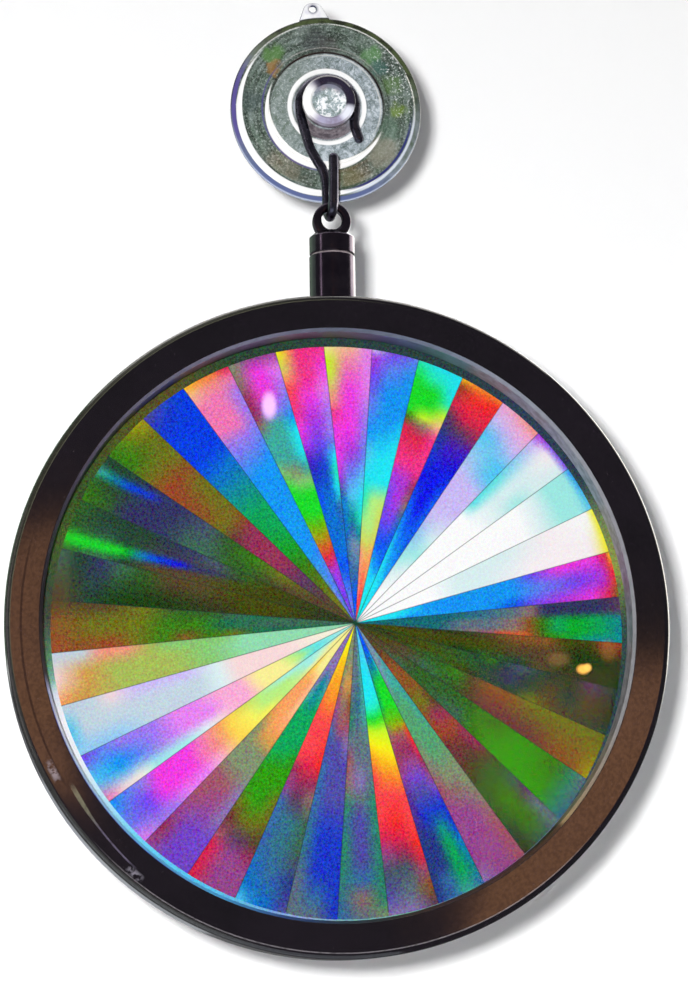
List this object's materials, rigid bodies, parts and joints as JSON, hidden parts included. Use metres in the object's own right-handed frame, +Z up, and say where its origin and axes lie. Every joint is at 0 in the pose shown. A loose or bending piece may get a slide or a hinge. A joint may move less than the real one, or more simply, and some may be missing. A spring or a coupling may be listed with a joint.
{
  "type": "suncatcher",
  "caption": "Window suncatcher: round ring frame with a laminated radial diffraction disc, hung by swivel and wire hook from a clear suction cup.",
  "frame": {"origin": "centre of the suction cup's window face, in the plane of the window", "axes": "+Z up, +Y into the window, so the front faces -Y and the frame hangs below the origin"},
  "size_m": [0.108, 0.0125, 0.1622],
  "materials": {
    "clear_pvc": "clear soft vinyl, slightly frosted",
    "dark_nickel_wire": "dark nickel plated wire",
    "dark_nickel": "polished dark nickel plate",
    "steel_pin": "plain steel",
    "dark_washer": "plated steel",
    "black_gloss": "high gloss black lacquer on turned aluminium",
    "clear_disc": "clear optical acrylic",
    "grating": "iridescent diffraction film in wedge sectors"
  },
  "bodies": {
    "cup": {"suction_cup": "clear_pvc"},
    "hook": {"hook_wire": "dark_nickel_wire"},
    "swivel": {"swivel_eye": "dark_nickel", "swivel_pin": "steel_pin", "swivel_washer": "dark_washer"},
    "hung_frame": {"swivel_barrel": "dark_nickel", "frame_ring": "black_gloss", "front_disc": "clear_disc", "grating_film": "grating", "rear_disc": "clear_disc", "retaining_ring": "black_gloss"}
  },
  "joints": [
    {"name": "hook_turn", "type": "hinge", "parent": "cup", "child": "hook", "pos_m": [0, -0.00342, 0], "axis": [0, 1, 0], "range_deg": [-85, 85]},
    {"name": "eye_swing", "type": "hinge", "parent": "hook", "child": "swivel", "pos_m": [0, -0.0068, -0.01815], "axis": [-1, 0, 0], "range_deg": [-0.9, 60]},
    {"name": "barrel_spin", "type": "hinge", "parent": "swivel", "child": "hung_frame", "pos_m": [0, -0.0068, -0.03], "axis": [0, 0, 1], "continuous": true}
  ]
}
